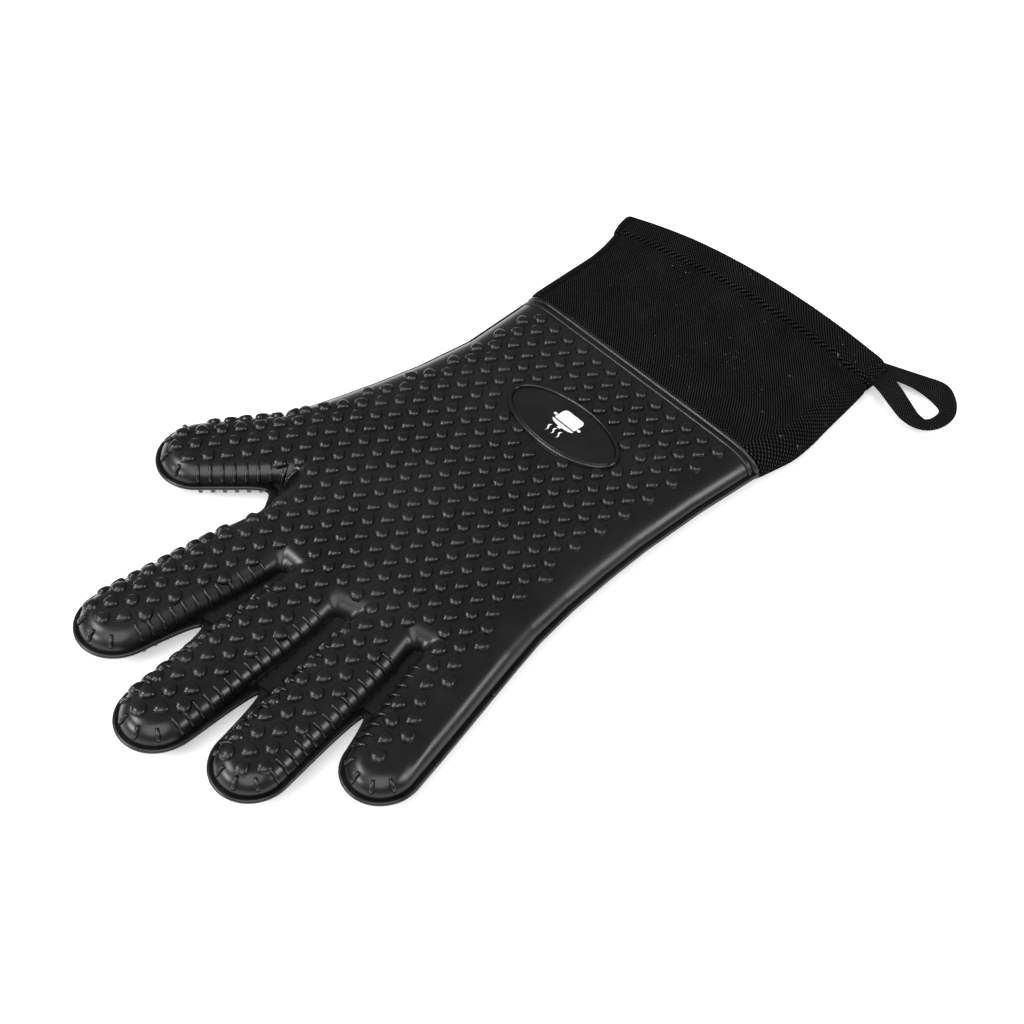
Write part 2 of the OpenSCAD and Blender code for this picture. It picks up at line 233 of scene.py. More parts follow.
def skin_mesh(form, low_y, step):
    """A net of four-sided faces over the face of a form, with a point in each cell that the face crosses."""
    axes = [np.arange(a, b + step, step) for a, b in zip((LOW_X, low_y, LOW_Z), (HIGH_X, HIGH_Y, HIGH_Z))]
    value = form(*np.meshgrid(*axes, indexing="ij"))
    inside = value < 0
    cells = tuple(n - 1 for n in value.shape)
    total, count = np.zeros(cells + (3,)), np.zeros(cells)
    for axis in range(3):
        for a in (0, 1):
            for b in (0, 1):
                first = [a, b]
                first.insert(axis, 0)
                second = [a, b]
                second.insert(axis, 1)
                one, two = (value[tuple(slice(c, c + n) for c, n in zip(corner, cells))]
                            for corner in (first, second))
                cross = (one < 0) != (two < 0)
                part = np.where(cross, one / np.where(cross, one - two, 1), 0)
                for k in range(3):
                    total[..., k] += cross * (part if k == axis else first[k])
                count += cross
    kept = count > 0
    number = np.full(cells, -1)
    number[kept] = np.arange(kept.sum())
    points = np.argwhere(kept) + total[kept] / count[kept][:, None]
    points = points * step + np.array([a[0] for a in axes])
    faces = []
    for axis in range(3):
        u, v = (axis + 1) % 3, (axis + 2) % 3
        one = [slice(1, n - 1) for n in value.shape]
        one[axis] = slice(0, value.shape[axis] - 1)
        two = list(one)
        two[axis] = slice(1, value.shape[axis])
        cross = np.argwhere(inside[tuple(one)] != inside[tuple(two)])
        outward = inside[tuple(one)][tuple(cross.T)]
        cross[:, u] += 1
        cross[:, v] += 1
        ring = []
        for du, dv in ((-1, -1), (0, -1), (0, 0), (-1, 0)):
            cell = cross.copy()
            cell[:, u] += du
            cell[:, v] += dv
            ring.append(number[tuple(cell.T)])
        ring = np.stack(ring, 1)
        faces.append(np.where(outward[:, None], ring, ring[:, ::-1]))
    faces = np.concatenate(faces)
    edges = np.unique(np.sort(np.concatenate([faces[:, [k, (k + 1) % 4]] for k in range(4)]), 1), axis=0)
    for _ in range(3):
        near, many = np.zeros_like(points), np.zeros(len(points))
        for a, b in ((0, 1), (1, 0)):
            np.add.at(near, edges[:, a], points[edges[:, b]])
            np.add.at(many, edges[:, a], 1)
        points = settle(form, points * 0.4 + 0.6 * near / many[:, None], rounds=2)
    return points, faces


def body_at(x, y):
    """Which body each place in plan moves with: the palm's up to each finger's root, then the finger's."""
    best, out = np.full(np.shape(x), 1e9), np.zeros(np.shape(x), int)
    for k, name in enumerate(FINGERS):
        along, across = along_across(name, x, y)
        near = finger_plan(name, x, y)
        # the thumb's share of the skin slants up to the slot beside the index finger
        inner, slant = (22.5, 0.4 * np.clip(-across - 10, 0, 20)) if name == "thumb" else (24, 0)
        mine = (along > BEND_START[name] - 1.5 + slant) & (across > -inner) & (across < 24) & (near < best)
        best = np.where(mine, near, best)
        out = np.where(mine, k + 1, out)
    return np.array(BODIES)[out]


def new_mesh(name, points, faces, material, smooth=True):
    """A mesh of one material from points in millimetres."""
    mesh = bpy.data.meshes.new(name)
    mesh.from_pydata((np.asarray(points) * MM).tolist(), [],
                     faces.tolist() if isinstance(faces, np.ndarray) else faces)
    mesh.polygons.foreach_set("use_smooth", [smooth] * len(mesh.polygons))
    mesh.materials.append(material)
    return mesh


def new_piece(name, points, faces, material, normals=None, uv=None, smooth=True):
    mesh = new_mesh(name, points, faces, material, smooth)
    if uv is not None:
        corner = np.zeros(len(mesh.loops), int)
        mesh.loops.foreach_get("vertex_index", corner)
        layer = mesh.uv_layers.new(name="cloth")
        layer.data.foreach_set("uv", (np.asarray(uv)[corner] * MM).ravel())
    if normals is not None:
        mesh.normals_split_custom_set_from_vertices(np.asarray(normals).tolist())
    piece = bpy.data.objects.new(name, mesh)
    scene.collection.objects.link(piece)
    return piece


def walled(points, faces, normals, wall):
    """A face given a thickness inwards, closed along its open edges."""
    count = len(points)
    sides = np.concatenate([faces[:, [k, (k + 1) % 4]] for k in range(4)])
    key = sides[:, 0] * count + sides[:, 1]
    open_side = ~np.isin(key, sides[:, 1] * count + sides[:, 0])
    rim = sides[open_side]
    rims = np.stack([rim[:, 1], rim[:, 0], rim[:, 0] + count, rim[:, 1] + count], 1)
    return (np.concatenate([points, points - normals * wall]),
            np.concatenate([faces, faces[:, ::-1] + count, rims]), np.concatenate([normals, -normals]))


def joined_to(piece, body):
    """A piece on the palm rides on the hand, and a piece on a finger has its placing baked into its points."""
    if body == "hand":
        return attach(piece, "hand")
    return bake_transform(piece)


def moulded(piece, body):
    """A piece of a body's silicone."""
    joined_to(piece, body)
    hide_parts(piece_name(body, "shell"))


def split_by_body(points, faces):
    """The faces of each body, with their own points."""
    middle = points[faces].mean(1)
    owner = body_at(middle[:, 0], middle[:, 1])
    for body in BODIES:
        part = faces[owner == body]
        used, fresh = np.unique(part, return_inverse=True)
        yield body, used, fresh.reshape(part.shape)


def piece_name(body, rest):
    return ("palm" if body == "hand" else body) + "_" + rest


def noise(nodes, links, place, scale, detail=3.0, rough=0.55):
    """A noise whose scale is a number or another node's output."""
    made = nodes.new("ShaderNodeTexNoise")
    if isinstance(scale, (int, float)):
        made.inputs["Scale"].default_value = scale
    else:
        links.new(scale, made.inputs["Scale"])
    made.inputs["Detail"].default_value = detail
    made.inputs["Roughness"].default_value = rough
    links.new(place, made.inputs["Vector"])
    return made.outputs["Fac"]


def math_node(nodes, links, operation, *values):
    made = nodes.new("ShaderNodeMath")
    made.operation = operation
    for k, value in enumerate(values):
        if isinstance(value, (int, float)):
            made.inputs[k].default_value = value
        else:
            links.new(value, made.inputs[k])
    return made.outputs[0]


def ranged(nodes, links, value, low, high, to_low, to_high):
    made = nodes.new("ShaderNodeMapRange")
    for k, number in enumerate((low, high, to_low, to_high), 1):
        made.inputs[k].default_value = number
    links.new(value, made.inputs[0])
    return made.outputs[0]


def colour_mix(nodes, links, share, one, two):
    made = nodes.new("ShaderNodeMix")
    made.data_type = "RGBA"
    for socket, value in ((made.inputs[6], one), (made.inputs[7], two)):
        if isinstance(value, tuple):
            socket.default_value = (*value, 1)
        else:
            links.new(value, socket)
    if isinstance(share, (int, float)):
        made.inputs[0].default_value = share
    else:
        links.new(share, made.inputs[0])
    return made.outputs[2]


def effect_group(name, inputs, outputs, coordinates="Object"):
    """An empty shader effect, its own coordinates already at hand."""
    tree = bpy.data.node_groups.new(name, "ShaderNodeTree")
    for label, value in inputs.items():
        socket = tree.interface.new_socket(name=label, in_out="INPUT", socket_type="NodeSocketFloat")
        socket.default_value = value
    for label in outputs:
        tree.interface.new_socket(name=label, in_out="OUTPUT", socket_type="NodeSocketFloat")
    given, result = tree.nodes.new("NodeGroupInput"), tree.nodes.new("NodeGroupOutput")
    place = tree.nodes.new("ShaderNodeTexCoord").outputs[coordinates]
    return tree, given.outputs, result.inputs, place


def bumped(nodes, links, height, strength, distance, normal=None):
    made = nodes.new("ShaderNodeBump")
    made.inputs["Strength"].default_value = strength
    made.inputs["Distance"].default_value = distance
    links.new(height, made.inputs["Height"])
    if normal is not None:
        links.new(normal, made.inputs["Normal"])
    return made.outputs["Normal"]


# dust and handling: a faint pale bloom in broad patches with fine specks in it
bloom, given, result, place = effect_group("handling_bloom", {"Patch Scale": 40, "Speck Scale": 1500},
                                           ("Patches", "Specks"))
nodes, links = bloom.nodes, bloom.links
patches = noise(nodes, links, place, given["Patch Scale"])
specks = noise(nodes, links, place, given["Speck Scale"], detail=1)
links.new(ranged(nodes, links, patches, 0.35, 0.7, 0, 1), result["Patches"])
links.new(ranged(nodes, links, specks, 0.66, 0.8, 0, 1), result["Specks"])


def silicone_finish(name, roughness, patch_scale, grain):
    """Black moulded silicone: satin, with a fine moulded grain and a faint bloom."""
    made, nodes, links, shader = new_material(name)
    dust = nodes.new("ShaderNodeGroup")
    dust.node_tree = bloom
    dust.inputs["Patch Scale"].default_value = patch_scale
    place = nodes.new("ShaderNodeTexCoord").outputs["Object"]
    colour = colour_mix(nodes, links, dust.outputs["Patches"], (0.0030, 0.0031, 0.0035),
                        (0.0062, 0.0064, 0.0070))
    specked = math_node(nodes, links, "MULTIPLY", dust.outputs["Specks"], 0.25)
    links.new(colour_mix(nodes, links, specked, colour, (0.05, 0.05, 0.052)), shader.inputs["Base Color"])
    links.new(ranged(nodes, links, dust.outputs["Patches"], 0, 1, roughness - 0.03, roughness + 0.06),
              shader.inputs["Roughness"])
    shader.inputs["Specular IOR Level"].default_value = 0.42
    grain_noise = noise(nodes, links, place, 2600, detail=2)
    broad = noise(nodes, links, place, 120, detail=2)
    rolling = bumped(nodes, links, broad, 0.05, 0.0008)
    links.new(bumped(nodes, links, grain_noise, grain, 0.00004, rolling), shader.inputs["Normal"])
    return made


silicone = silicone_finish("black_silicone", 0.28, 35, 0.045)
skin_points, skin_faces = skin_mesh(skin_form, WRIST_Y - 3, SKIN_STEP)
skin_faces = skin_faces[skin_points[skin_faces][:, :, 1].mean(1) > WRIST_Y]
skin_normals = unit(slope(skin_form, skin_points))
UPWARD = (0, 0, 1.0)
for body, used, faces in split_by_body(skin_points, skin_faces):
    points, faces, normals = walled(skin_points[used], faces, skin_normals[used], SKIN_WALL)
    made = new_piece(piece_name(body, "silicone_skin"), points, faces, silicone, normals)
    moulded(made, body)

# Where the two halves of the mould meet, a thin lip runs round the whole hand: a flat web off the side
# wall, which fills the ends of the gaps between the fingers, and a rounded rim on it.
RIM_OUT = 1.2
# how far the web spans between each finger and the one before it
WEB_SPAN = {"middle": 14, "ring": 14, "little": 9, "thumb": 14}
WEB_STEP, WEB_THICK = 0.7, 0.76
LIP_PROFILE = ((-3.4, 0.45), (-0.75, 0.45), (-0.5, 0.72), (0, 0.85), (0.5, 0.7), (0.8, 0.3),
               (0.8, -0.3), (0.5, -0.7), (0, -0.85), (-0.5, -0.72), (-0.75, -0.45), (-3.4, -0.45))


def reached(line):
    """How far along a line each of its points lies."""
    return np.concatenate([[0], np.cumsum(np.linalg.norm(np.diff(line, axis=0), axis=1))])


def outline(form, low, high, spacing, step=0.8):
    """The line where a form in a plane is zero, as evenly spaced points, open if it leaves the area."""
    axes = [np.arange(a, b + step, step) for a, b in zip(low, high)]
    inside = form(*np.meshgrid(*axes, indexing="ij")) < 0
    rows, cols = (n - 1 for n in inside.shape)
    beside = {}
    for axis in range(2):
        cross = np.argwhere(inside[1:] != inside[:-1] if axis == 0 else inside[:, 1:] != inside[:, :-1])
        for i, j in cross.tolist():
            one = (i, j - 1) if axis == 0 else (i - 1, j)
            if min(one) >= 0 and i < rows and j < cols:
                beside.setdefault(one, []).append((i, j))
                beside.setdefault((i, j), []).append(one)
    ends = [cell for cell, near in beside.items() if len(near) == 1]
    walk = [ends[0] if ends else next(iter(beside))]
    seen = set(walk)
    while True:
        ahead = [cell for cell in beside[walk[-1]] if cell not in seen]
        if not ahead:
            break
        walk.append(ahead[0])
        seen.add(ahead[0])
    points = settle(form, (np.array(walk) + 0.5) * step + np.array([a[0] for a in axes]), rounds=6)
    if not ends:
        points = np.concatenate([points, points[:1]])
    reach = reached(points)
    even = np.linspace(0, reach[-1], int(reach[-1] / spacing) + 1)
    points = np.stack([np.interp(even, reach, points[:, k]) for k in range(2)], 1)
    return points if ends else points[:-1]


def ring_faces(rings, sides, closed_line=False):
    """The faces between rings of points, capped at both ends or run round into the first ring."""
    faces = [(i * sides + j, i * sides + (j + 1) % sides, (i + 1) % rings * sides + (j + 1) % sides,
              (i + 1) % rings * sides + j) for i in range(rings - (not closed_line)) for j in range(sides)]
    if not closed_line:
        faces += [tuple(range(sides))[::-1], tuple((rings - 1) * sides + j for j in range(sides))]
    return faces


def swept(line, out, up, profile, closed_line):
    """A tube along a line, its profile given as distances along the out and up directions."""
    points = np.concatenate([line[:, None] + out[:, None] * a + up[:, None] * b for a, b in profile], 1)
    return points.reshape(-1, 3), ring_faces(len(line), len(profile), closed_line)


def as_one(shapes):
    """The points and faces of several shapes, gathered into one."""
    points, faces, first = [], [], 0
    for some, more in shapes:
        points.append(some)
        faces += [tuple(k + first for k in face) for face in more]
        first += len(some)
    return np.concatenate(points), faces


def turned_out(mesh):
    """A closed mesh with its faces turned to point outwards."""
    if sum(mesh.vertices[p.vertices[0]].co.dot(p.normal) * p.area for p in mesh.polygons) < 0:
        mesh.flip_normals()
    return mesh


def facing_out(name, points, faces, material, **more):
    piece = new_piece(name, points, faces, material, **more)
    turned_out(piece.data)
    return piece


def web_plan(x, y):
    """Distance outside the middle of the rim, in plan. The web is wide where two fingers lie close."""
    row = finger_plan("index", x, y)
    for name in ("middle", "ring", "little"):
        row = soft_least(row, finger_plan(name, x, y), WEB_SPAN[name])
    near_thumb = soft_least(palm_plan(x, y), finger_plan("thumb", x, y), WEB_SPAN["thumb"])
    near_thumb = np.where(along_across("thumb", x, y)[1] < 0, near_thumb, 99)
    return np.minimum(np.minimum(plan(x, y), row), near_thumb) - RIM_OUT


lip_line = outline(web_plan, (LOW_X, WRIST_Y), (HIGH_X, HIGH_Y), 1.2)
at_wrist = [lip_line[[end]] * (1, 0) + (0, WRIST_Y) for end in (0, -1)]
lip_line = np.concatenate([at_wrist[0], lip_line, at_wrist[1]])
lip_out = unit(slope(web_plan, lip_line))
lip_level = middle_level(*lip_line.T)
lip_owner = body_at(*lip_line.T)
lip_line, lip_out = np.column_stack([lip_line, lip_level]), np.column_stack([lip_out, 0 * lip_level])
for body in BODIES:
    own = np.flatnonzero(lip_owner == body)
    runs = np.split(own, np.flatnonzero(np.diff(own) > 1) + 1)
    runs = [np.append(run, run[-1] + 1) if run[-1] + 1 < len(lip_line) else run for run in runs]
    lips = [swept(lip_line[run], lip_out[run], np.tile(UPWARD, (len(run), 1)), LIP_PROFILE, False)
            for run in runs if len(run) > 2]
    made = facing_out(piece_name(body, "mould_lip"), *as_one(lips), silicone)
    moulded(made, body)
web_x, web_y = np.meshgrid(np.arange(-90, 99, WEB_STEP), np.arange(30, 150, WEB_STEP), indexing="ij")
middle_x, middle_y = web_x[:-1, :-1] + WEB_STEP / 2, web_y[:-1, :-1] + WEB_STEP / 2
to_wall, to_rim = plan(middle_x, middle_y), web_plan(middle_x, middle_y)
i, j = np.nonzero((to_wall > -1.2) & (to_rim < -0.1) & (to_wall - RIM_OUT - to_rim > 0.1))
tall = web_x.shape[1]
web_faces = np.stack([i * tall + j, (i + 1) * tall + j, (i + 1) * tall + j + 1, i * tall + j + 1], 1)
web_points = np.column_stack([web_x.ravel(), web_y.ravel(), middle_level(web_x, web_y).ravel() + WEB_THICK / 2])
for body, used, faces in split_by_body(web_points, web_faces):
    if len(faces):
        some, more, _ = walled(web_points[used], faces, np.tile(UPWARD, (len(used), 1)), WEB_THICK)
        made = new_piece(piece_name(body, "lip_web"), some, more, silicone, smooth=False)
        moulded(made, body)

# The skin's open end is finished with a moulded double bead, a thick ring and a thinner one beside it,
# which grips the cloth cuff that is bonded inside it.
BEADS = ((0, 1.35), (3.1, 0.8))


def round_profile(radius, sides=10):
    return [(radius * math.cos(math.tau * k / sides), radius * math.sin(math.tau * k / sides))
            for k in range(sides)]


def ring_across(y, depth, spacing):
    """The ring where an upright plane across the wrist cuts a layer's face, and the way out of it."""
    form = lambda x, z: skin_form(x, np.full(np.shape(x), y), z, depth)
    ring = outline(form, (-80, -1), (80, 20), spacing)
    return (np.insert(part, 1, at, axis=1) for part, at in ((ring, y), (slope(form, ring), 0)))


beads = []
for from_end, radius in BEADS:
    ring, out = ring_across(WRIST_Y + from_end, 0, 1.5)
    beads.append(swept(ring, unit(out), np.tile([0, 1.0, 0], (len(ring), 1)), round_profile(radius), True))
made = facing_out("palm_wrist_bead", *as_one(beads), silicone)
moulded(made, "hand")

# Grip nubs stand on both faces of the hand: low rounded triangles in rows, every second row turned the
# other way and set half a pitch over. They stop short of the badge, the bead and the ribbed side walls.
NUB_PITCH, ROW_PITCH = 8.62, 6.25
NUB_START = (-22.5, 15.5)
NUB_RADIUS, NUB_HEIGHT = 3.0, 1.55
BADGE_AT, BADGE_HALF = (-7.5, -35.8), (29.3, 13.7)
# how far inside the side wall a nub's middle has to be, on a body's left and right sides
NUB_MARGIN = {"hand": (4.6, 4.6), "thumb": (5.4, 2.6), "index": (5.4, 2.6), "middle": (5.4, 2.6),
              "ring": (5.4, 2.6), "little": (9.4, 5.0)}
# how much further inside the lower face's nubs stop
LOWER_MARGIN = 3
# how wide a smooth band runs down the hand's left side, and down its right side below the thumb
SMOOTH_BANDS, BAND_END = (13.5, 10), 20


def dome_mesh(name, ring_shape, rings):
    """A small dome, open at its foot: rings of points, each as [height, share of the outline's size]."""
    points = [(x * share, y * share, height) for height, share in rings for x, y in ring_shape]
    faces = ring_faces(len(rings), len(ring_shape))
    faces.pop(-2)
    return bpy.data.objects.new(name, new_mesh(name, points, faces, silicone))


def repeat_tree(name):
    """Geometry nodes that set one small shape on every point, turned as the point's own attribute says."""
    tree = bpy.data.node_groups.new(name, "GeometryNodeTree")
    sockets = {}
    for label, kind in (("Geometry", "NodeSocketGeometry"), ("Shape", "NodeSocketObject"),
                        ("Smallest Size", "NodeSocketFloat"), ("Largest Size", "NodeSocketFloat"),
                        ("Seed", "NodeSocketInt"), ("Finish", "NodeSocketMaterial")):
        sockets[label] = tree.interface.new_socket(name=label, in_out="INPUT", socket_type=kind).identifier
    tree.interface.new_socket(name="Geometry", in_out="OUTPUT", socket_type="NodeSocketGeometry")
    nodes, links = tree.nodes, tree.links
    given, result = nodes.new("NodeGroupInput"), nodes.new("NodeGroupOutput")
    shape, turn, as_turn, size, place, real, finish = (nodes.new(kind) for kind in (
        "GeometryNodeObjectInfo", "GeometryNodeInputNamedAttribute", "FunctionNodeEulerToRotation",
        "FunctionNodeRandomValue", "GeometryNodeInstanceOnPoints", "GeometryNodeRealizeInstances",
        "GeometryNodeSetMaterial"))
    turn.data_type = "FLOAT_VECTOR"
    turn.inputs["Name"].default_value = "turn"
    for source, output, target, socket in (
            (given, "Shape", shape, "Object"), (given, "Geometry", place, "Points"),
            (shape, "Geometry", place, "Instance"), (turn, "Attribute", as_turn, 0),
            (as_turn, 0, place, "Rotation"), (given, "Smallest Size", size, 2),
            (given, "Largest Size", size, 3), (given, "Seed", size, "Seed"), (size, 1, place, "Scale"),
            (place, "Instances", real, "Geometry"), (real, "Geometry", finish, "Geometry"),
            (given, "Finish", finish, "Material"), (finish, "Geometry", result, "Geometry")):
        links.new(source.outputs[output], target.inputs[socket])
    return tree, sockets


REPEAT, REPEAT_SOCKETS = repeat_tree("set_on_points")


def turned(along, up):
    """The turn that takes x to a direction and z to another, as three angles."""
    side = np.cross(up, along)
    return np.array([Matrix(np.stack([a, s, u], 1).tolist()).to_euler() for a, s, u in zip(along, side, up)])


def level_with(direction, up):
    return unit(direction - (direction * up).sum(1, keepdims=True) * up)


def repeated(name, shape, spots, turns, finish, size=(1, 1), seed=1):
    mesh = bpy.data.meshes.new(name + "_spots")
    mesh.from_pydata((np.asarray(spots) * MM).tolist(), [], [])
    mesh.attributes.new("turn", "FLOAT_VECTOR", "POINT").data.foreach_set("vector", np.ravel(turns))
    holder = bpy.data.objects.new(name + "_spots", mesh)
    scene.collection.objects.link(holder)
    modifier = holder.modifiers.new("repeat", "NODES")
    modifier.node_group = REPEAT
    for label, value in (("Shape", shape), ("Smallest Size", float(size[0])), ("Largest Size", float(size[1])),
                         ("Seed", seed), ("Finish", finish)):
        modifier[REPEAT_SOCKETS[label]] = value
    made = bpy.data.meshes.new_from_object(holder.evaluated_get(bpy.context.evaluated_depsgraph_get()))
    bpy.data.objects.remove(holder)
    made.name = name
    piece = bpy.data.objects.new(name, made)
    scene.collection.objects.link(piece)
    return piece


def on_face(x, y, upper):
    """The points of the skin's upper or lower face over places in plan."""
    z = np.where(upper, 19.0, -1.0)
    for _ in range(60):
        z = z - np.where(upper, 0.7, -0.7) * np.maximum(skin_form(x, y, z), 0)
    return np.column_stack([x, y, z])


nub_outline = [(NUB_RADIUS * (1 + 0.13 * math.cos(3 * a)) * math.cos(a),
                NUB_RADIUS * (1 + 0.13 * math.cos(3 * a)) * math.sin(a)) for a in np.arange(9) * math.tau / 9]
nub = dome_mesh("nub", nub_outline, ((-0.5, 1.06), (0.1, 1), (0.85, 0.9), (1.32, 0.68), (NUB_HEIGHT, 0.3)))
row_at, col_at = (a.ravel() for a in np.meshgrid(np.arange(-16, 28), np.arange(-12, 16), indexing="ij"))
nub_x = NUB_START[0] + NUB_PITCH * (col_at + 0.5 * (row_at % 2))
nub_y = NUB_START[1] + ROW_PITCH * row_at
nub_way = np.where(row_at % 2, 1.0, -1.0)
inner = plan(nub_x, nub_y) < -2.5
nub_x, nub_y, nub_way = nub_x[inner], nub_y[inner], nub_way[inner]
nub_owner = body_at(nub_x, nub_y)
margin = np.zeros(len(nub_x))
for body, (left, right) in NUB_MARGIN.items():
    across = nub_x + 5 if body == "hand" else along_across(body, nub_x, nub_y)[1]
    margin = np.where(nub_owner == body, np.where(across < 0, left, right), margin)
off_badge = (((nub_x - BADGE_AT[0]) / (BADGE_HALF[0] + 1)) ** 2
             + ((nub_y - BADGE_AT[1]) / (BADGE_HALF[1] + 1)) ** 2 > 1)
from_left = nub_x - np.interp(nub_y, *zip(*PALM_LEFT))
from_right = np.interp(nub_y, *zip(*PALM_RIGHT)) - nub_x
banded = (nub_owner == "hand") & ((from_left < SMOOTH_BANDS[0])
                                  | ((from_right < SMOOTH_BANDS[1]) & (nub_y < BAND_END)))
fits = (plan(nub_x, nub_y) < -margin) & (nub_y > WRIST_Y + 6.5) & ~banded
nub_spots, nub_along = [], []
for upper in (True, False):
    keep = fits & (off_badge if upper else plan(nub_x, nub_y) < -margin - LOWER_MARGIN)
    nub_spots.append(on_face(nub_x[keep], nub_y[keep], upper))
    nub_along.append(np.column_stack([np.zeros(keep.sum()), nub_way[keep], np.zeros(keep.sum())]))
# more nubs stand on the thumb's outer wall and on the walls towards the thumb of the three fingers beside
# it, a column above the lip and one below it
WALL_NUB_RISE = 4.6
for name in ("thumb", "index", "middle", "ring"):
    length, wide, _, shift = FINGERS[name][3:]
    root, head, side = finger_line(name)
    reach = np.arange(4 if name == "thumb" else 6, length - wide - 2, ROW_PITCH)
    for rise in (WALL_NUB_RISE, -WALL_NUB_RISE):
        spots = root + (0, 0, rise) + reach[:, None] * head + (wide + shift) * side
        nub_spots.append(settle(skin_form, spots))
        nub_along.append(np.where(np.arange(len(reach)) % 2, 1, -1)[:, None] * head)
nub_spots, nub_along = np.concatenate(nub_spots), np.concatenate(nub_along)
nub_up = unit(slope(skin_form, nub_spots))
nub_turn = turned(level_with(nub_along, nub_up), nub_up)
nub_owner = body_at(nub_spots[:, 0], nub_spots[:, 1])
for body in BODIES:
    mine = nub_owner == body
    made = repeated(piece_name(body, "grip_nubs"), nub, nub_spots[mine], nub_turn[mine], silicone, (0.95, 1.03),
                    seed=7)
    moulded(made, body)
bpy.data.objects.remove(nub)

# The walls between the fingers carry short upright ribs, and each fingertip has a few shorter ones that
# fan out over its dome. They are moulded in one with the skin.
RIB_PITCH = 4.7
RIB_WIDE, RIB_PROUD = 0.95, 0.95
TIP_RIBS = (-52, -14, 24, 62)
RIBBED_SIDES = {"thumb": (-1,), "index": (-1,), "middle": (-1, 1), "ring": (-1, 1), "little": (1,)}


def rib_mesh(name, first, last):
    """A rib up the rounded wall, from one angle of its edge to another. It stands at the wall's foot."""
    angles = np.radians(np.linspace(first, last, 7))
    swell = np.sin(np.linspace(0.25, math.pi - 0.25, 7)) ** 0.5
    wide, tall = FINGER_EDGE
    points = []
    for a, s in zip(angles, swell):
        foot = np.array([wide * math.cos(a) - wide, 0, FINGER_HALF - 0.25 - tall + tall * math.sin(a)])
        out = np.array([math.cos(a) / wide, 0, math.sin(a) / tall])
        out /= np.linalg.norm(out)
        for share in (-1, -0.55, 0.55, 1):
            proud = (RIB_PROUD * s if abs(share) < 1 else -0.4)
            points.append(foot + out * proud + np.array([0, share * RIB_WIDE * (0.6 + 0.4 * s), 0]))
    faces = [(i * 4 + j, i * 4 + j + 1, (i + 1) * 4 + j + 1, (i + 1) * 4 + j)
             for i in range(6) for j in range(3)]
    faces += [(i * 4 + 3, i * 4, (i + 1) * 4, (i + 1) * 4 + 3) for i in range(6)]
    faces += [(0, 3, 2, 1), (24, 25, 26, 27)]
    return bpy.data.objects.new(name, new_mesh(name, points, faces, silicone))


wall_rib, tip_rib = rib_mesh("wall_rib", 12, 76), rib_mesh("tip_rib", 22, 62)
for name, sides in RIBBED_SIDES.items():
    length, wide = FINGERS[name][3:5]
    root, head, across = finger_line(name)
    for kind, shape in (("wall", wall_rib), ("tip", tip_rib)):
        spots, outs = [], []
        if kind == "wall":
            for side in sides:
                for reach in np.arange(3.5, length - wide - 0.5, RIB_PITCH):
                    spots.append(root + head * reach + across * side * (wide + 1))
                    outs.append(across * side)
        else:
            for angle in np.radians(TIP_RIBS):
                out = head * math.cos(angle) + across * math.sin(angle)
                spots.append(root + head * (length - FLANGE_WIDTH - wide) + out * wide)
                outs.append(out)
        spots, outs = np.array(spots), np.array(outs)
        spots[:, :2] = settle(plan, spots[:, :2], rounds=6)
        outs[:, :2] = slope(plan, spots[:, :2])
        faces_ribbed = 2 if kind == "wall" else 1
        up = np.repeat([UPWARD, (0, 0, -1.0)][:faces_ribbed], len(spots), 0)
        turns = turned(np.tile(unit(outs), (faces_ribbed, 1)), up)
        made = repeated(f"{name}_{kind}_ribs", shape, np.tile(spots, (faces_ribbed, 1)), turns, silicone)
        moulded(made, name)
for shape in (wall_rib, tip_rib):
    bpy.data.objects.remove(shape)

# The badge is a smooth oval moulded on the back of the hand, its rim raised round a sunk flat face, with
# a plain cooking pot and its steam printed on it in white ink.
BADGE_FACE, BADGE_RIM = 18.0, 0.9
ROUND = 120
badge_turns = np.arange(ROUND) * math.tau / ROUND
badge_line = np.column_stack([BADGE_AT[0] + (BADGE_HALF[0] - BADGE_RIM) * np.cos(badge_turns),
                              BADGE_AT[1] + (BADGE_HALF[1] - BADGE_RIM) * np.sin(badge_turns),
                              np.full(ROUND, BADGE_FACE)])
badge_out = unit(np.column_stack([np.cos(badge_turns) / BADGE_HALF[0], np.sin(badge_turns) / BADGE_HALF[1],
                                  np.zeros(ROUND)]))
rim_profile = ((-0.95, -1.2), (-0.9, 0.1), (-0.62, 0.5), (-0.2, 0.66), (0.25, 0.55), (0.68, 0.05),
               (0.95, -0.9), (1.0, -1.8))
rim = swept(badge_line, badge_out, np.tile(UPWARD, (ROUND, 1)), rim_profile, True)
# the plate's rings, from its underside up and in over its face: share of its half size, and level
plate_rings = ((1.02, -1.5), (1.02, -0.1), (0.93, -0.05), (0.9, 0), (0.5, 0.05))
inner_half = [half - BADGE_RIM - 0.9 for half in BADGE_HALF]
plate = [(BADGE_AT[0] + inner_half[0] * share * math.cos(a), BADGE_AT[1] + inner_half[1] * share * math.sin(a),
          BADGE_FACE + level) for share, level in plate_rings for a in badge_turns]
badge_silicone = silicone_finish("smooth_black_silicone", 0.25, 60, 0.05)
shape = as_one([rim, (plate, ring_faces(len(plate_rings), ROUND))])
made = facing_out("palm_badge", *shape, badge_silicone)
moulded(made, "hand")

